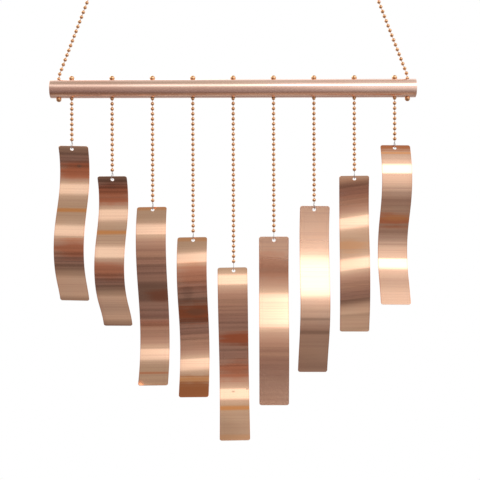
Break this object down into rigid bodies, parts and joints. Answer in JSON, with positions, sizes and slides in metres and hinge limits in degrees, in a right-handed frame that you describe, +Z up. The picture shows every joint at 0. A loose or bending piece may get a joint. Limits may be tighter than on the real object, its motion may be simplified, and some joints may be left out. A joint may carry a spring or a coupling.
{
  "type": "wind chime",
  "caption": "Hanging wind chime: wavy copper strips on ball chains of graded length under a drilled copper tube, carried by two ball chains that end in eyes.",
  "frame": {"origin": "midway between the bores of the two hanging eyes", "axes": "+X along the tube to the right, +Z up, and the front of the chime faces -Y"},
  "size_m": [0.312, 0.0486, 0.3898],
  "materials": {
    "copper_tube": "drawn copper tube, lightly tarnished",
    "copper_sheet": "rolled copper sheet with fine lines, half bright",
    "bright_copper": "bright copper-plated beads",
    "copper_wire": "copper-plated wire",
    "steel_wire": "plain bright steel wire"
  },
  "bodies": {
    "hanger_eyes": {"hanger_eye_left": "bright_copper", "hanger_eye_right": "bright_copper"},
    "bar": {"bar": "copper_tube", "stop_balls": "bright_copper", "bar_beads_group": "bright_copper", "bar_links_group": "copper_wire", "hanger_beads_left": "bright_copper", "hanger_beads_right": "bright_copper", "hanger_links_left": "copper_wire", "hanger_links_right": "copper_wire"},
    "pivot_1": {"pivot_link_1": "copper_wire"},
    "chain_1": {"chain_beads_1": "bright_copper", "chain_links_1": "copper_wire"},
    "loop_1": {"loop_1": "steel_wire"},
    "strip_1": {"strip_1": "copper_sheet"},
    "pivot_2": {"pivot_link_2": "copper_wire"},
    "chain_2": {"chain_beads_2": "bright_copper", "chain_links_2": "copper_wire"},
    "loop_2": {"loop_2": "steel_wire"},
    "strip_2": {"strip_2": "copper_sheet"},
    "pivot_3": {"pivot_link_3": "copper_wire"},
    "chain_3": {"chain_beads_3": "bright_copper", "chain_links_3": "copper_wire"},
    "loop_3": {"loop_3": "steel_wire"},
    "strip_3": {"strip_3": "copper_sheet"},
    "pivot_4": {"pivot_link_4": "copper_wire"},
    "chain_4": {"chain_beads_4": "bright_copper", "chain_links_4": "copper_wire"},
    "loop_4": {"loop_4": "steel_wire"},
    "strip_4": {"strip_4": "copper_sheet"},
    "pivot_5": {"pivot_link_5": "copper_wire"},
    "chain_5": {"chain_beads_5": "bright_copper", "chain_links_5": "copper_wire"},
    "loop_5": {"loop_5": "steel_wire"},
    "strip_5": {"strip_5": "copper_sheet"},
    "pivot_6": {"pivot_link_6": "copper_wire"},
    "chain_6": {"chain_beads_6": "bright_copper", "chain_links_6": "copper_wire"},
    "loop_6": {"loop_6": "steel_wire"},
    "strip_6": {"strip_6": "copper_sheet"},
    "pivot_7": {"pivot_link_7": "copper_wire"},
    "chain_7": {"chain_beads_7": "bright_copper", "chain_links_7": "copper_wire"},
    "loop_7": {"loop_7": "steel_wire"},
    "strip_7": {"strip_7": "copper_sheet"},
    "pivot_8": {"pivot_link_8": "copper_wire"},
    "chain_8": {"chain_beads_8": "bright_copper", "chain_links_8": "copper_wire"},
    "loop_8": {"loop_8": "steel_wire"},
    "strip_8": {"strip_8": "copper_sheet"},
    "pivot_9": {"pivot_link_9": "copper_wire"},
    "chain_9": {"chain_beads_9": "bright_copper", "chain_links_9": "copper_wire"},
    "loop_9": {"loop_9": "steel_wire"},
    "strip_9": {"strip_9": "copper_sheet"}
  },
  "joints": [
    {"name": "bar_swing", "type": "hinge", "parent": "hanger_eyes", "child": "bar", "pos_m": [0, 0, -0.0063], "axis": [1, 0, 0], "range_deg": [-25, 25]},
    {"name": "swing_1", "type": "hinge", "parent": "bar", "child": "pivot_1", "pos_m": [-0.138, 0, -0.09723], "axis": [1, 0, 0], "range_deg": [-15, 15]},
    {"name": "sway_1", "type": "hinge", "parent": "pivot_1", "child": "chain_1", "pos_m": [-0.138, 0, -0.10024], "axis": [0, 1, 0], "range_deg": [-2.8, 2.8]},
    {"name": "turn_1", "type": "hinge", "parent": "chain_1", "child": "loop_1", "pos_m": [-0.138, 0, -0.13203], "axis": [0, 0, 1], "range_deg": [-20, 20]},
    {"name": "rock_1", "type": "hinge", "parent": "loop_1", "child": "strip_1", "pos_m": [-0.138, 0, -0.13921], "axis": [0.9998, -0.0175, 0], "range_deg": [-25, 5.5]},
    {"name": "swing_2", "type": "hinge", "parent": "bar", "child": "pivot_2", "pos_m": [-0.1035, 0, -0.09723], "axis": [1, 0, 0], "range_deg": [-15, 15]},
    {"name": "sway_2", "type": "hinge", "parent": "pivot_2", "child": "chain_2", "pos_m": [-0.1035, 0, -0.10024], "axis": [0, 1, 0], "range_deg": [-2.4, 2.4]},
    {"name": "turn_2", "type": "hinge", "parent": "chain_2", "child": "loop_2", "pos_m": [-0.1035, 0, -0.15813], "axis": [0, 0, 1], "range_deg": [-20, 20]},
    {"name": "rock_2", "type": "hinge", "parent": "loop_2", "child": "strip_2", "pos_m": [-0.1035, 0, -0.16531], "axis": [0.9976, -0.0698, 0], "range_deg": [-25, 10.5]},
    {"name": "swing_3", "type": "hinge", "parent": "bar", "child": "pivot_3", "pos_m": [-0.069, 0, -0.09723], "axis": [1, 0, 0], "range_deg": [-15, 15]},
    {"name": "sway_3", "type": "hinge", "parent": "pivot_3", "child": "chain_3", "pos_m": [-0.069, 0, -0.10024], "axis": [0, 1, 0], "range_deg": [-2.2, 2.2]},
    {"name": "turn_3", "type": "hinge", "parent": "chain_3", "child": "loop_3", "pos_m": [-0.069, 0, -0.18423], "axis": [0, 0, 1], "range_deg": [-20, 20]},
    {"name": "rock_3", "type": "hinge", "parent": "loop_3", "child": "strip_3", "pos_m": [-0.069, 0, -0.19141], "axis": [0.9998, -0.0175, 0], "range_deg": [-5, 25]},
    {"name": "swing_4", "type": "hinge", "parent": "bar", "child": "pivot_4", "pos_m": [-0.0345, 0, -0.09723], "axis": [1, 0, 0], "range_deg": [-15, 15]},
    {"name": "sway_4", "type": "hinge", "parent": "pivot_4", "child": "chain_4", "pos_m": [-0.0345, 0, -0.10024], "axis": [0, 1, 0], "range_deg": [-1.8, 1.8]},
    {"name": "turn_4", "type": "hinge", "parent": "chain_4", "child": "loop_4", "pos_m": [-0.0345, 0, -0.21033], "axis": [0, 0, 1], "range_deg": [-20, 20]},
    {"name": "rock_4", "type": "hinge", "parent": "loop_4", "child": "strip_4", "pos_m": [-0.0345, 0, -0.21751], "axis": [0.9994, -0.0349, 0], "range_deg": [-9, 25]},
    {"name": "swing_5", "type": "hinge", "parent": "bar", "child": "pivot_5", "pos_m": [0, 0, -0.09723], "axis": [1, 0, 0], "range_deg": [-15, 15]},
    {"name": "sway_5", "type": "hinge", "parent": "pivot_5", "child": "chain_5", "pos_m": [0, 0, -0.10024], "axis": [0, 1, 0], "range_deg": [-1.8, 1.8]},
    {"name": "turn_5", "type": "hinge", "parent": "chain_5", "child": "loop_5", "pos_m": [0, 0, -0.23643], "axis": [0, 0, 1], "range_deg": [-20, 20]},
    {"name": "rock_5", "type": "hinge", "parent": "loop_5", "child": "strip_5", "pos_m": [0, 0, -0.24361], "axis": [1, 0, 0], "range_deg": [-14.5, 25]},
    {"name": "swing_6", "type": "hinge", "parent": "bar", "child": "pivot_6", "pos_m": [0.0345, 0, -0.09723], "axis": [1, 0, 0], "range_deg": [-15, 15]},
    {"name": "sway_6", "type": "hinge", "parent": "pivot_6", "child": "chain_6", "pos_m": [0.0345, 0, -0.10024], "axis": [0, 1, 0], "range_deg": [-1.8, 1.8]},
    {"name": "turn_6", "type": "hinge", "parent": "chain_6", "child": "loop_6", "pos_m": [0.0345, 0, -0.21033], "axis": [0, 0, 1], "range_deg": [-20, 20]},
    {"name": "rock_6", "type": "hinge", "parent": "loop_6", "child": "strip_6", "pos_m": [0.0345, 0, -0.21751], "axis": [0.9998, -0.0175, 0], "range_deg": [-25, 15]},
    {"name": "swing_7", "type": "hinge", "parent": "bar", "child": "pivot_7", "pos_m": [0.069, 0, -0.09723], "axis": [1, 0, 0], "range_deg": [-15, 15]},
    {"name": "sway_7", "type": "hinge", "parent": "pivot_7", "child": "chain_7", "pos_m": [0.069, 0, -0.10024], "axis": [0, 1, 0], "range_deg": [-2.2, 2.2]},
    {"name": "turn_7", "type": "hinge", "parent": "chain_7", "child": "loop_7", "pos_m": [0.069, 0, -0.18423], "axis": [0, 0, 1], "range_deg": [-20, 20]},
    {"name": "rock_7", "type": "hinge", "parent": "loop_7", "child": "strip_7", "pos_m": [0.069, 0, -0.19141], "axis": [0.9994, 0.0349, 0], "range_deg": [-25, 15]},
    {"name": "swing_8", "type": "hinge", "parent": "bar", "child": "pivot_8", "pos_m": [0.1035, 0, -0.09723], "axis": [1, 0, 0], "range_deg": [-15, 15]},
    {"name": "sway_8", "type": "hinge", "parent": "pivot_8", "child": "chain_8", "pos_m": [0.1035, 0, -0.10024], "axis": [0, 1, 0], "range_deg": [-2.4, 2.4]},
    {"name": "turn_8", "type": "hinge", "parent": "chain_8", "child": "loop_8", "pos_m": [0.1035, 0, -0.15813], "axis": [0, 0, 1], "range_deg": [-20, 20]},
    {"name": "rock_8", "type": "hinge", "parent": "loop_8", "child": "strip_8", "pos_m": [0.1035, 0, -0.16531], "axis": [0.9962, -0.0872, 0], "range_deg": [-25, 5]},
    {"name": "swing_9", "type": "hinge", "parent": "bar", "child": "pivot_9", "pos_m": [0.138, 0, -0.09723], "axis": [1, 0, 0], "range_deg": [-15, 15]},
    {"name": "sway_9", "type": "hinge", "parent": "pivot_9", "child": "chain_9", "pos_m": [0.138, 0, -0.10024], "axis": [0, 1, 0], "range_deg": [-2.8, 2.8]},
    {"name": "turn_9", "type": "hinge", "parent": "chain_9", "child": "loop_9", "pos_m": [0.138, 0, -0.13203], "axis": [0, 0, 1], "range_deg": [-20, 20]},
    {"name": "rock_9", "type": "hinge", "parent": "loop_9", "child": "strip_9", "pos_m": [0.138, 0, -0.13921], "axis": [1, 0, 0], "range_deg": [-10, 25]}
  ]
}
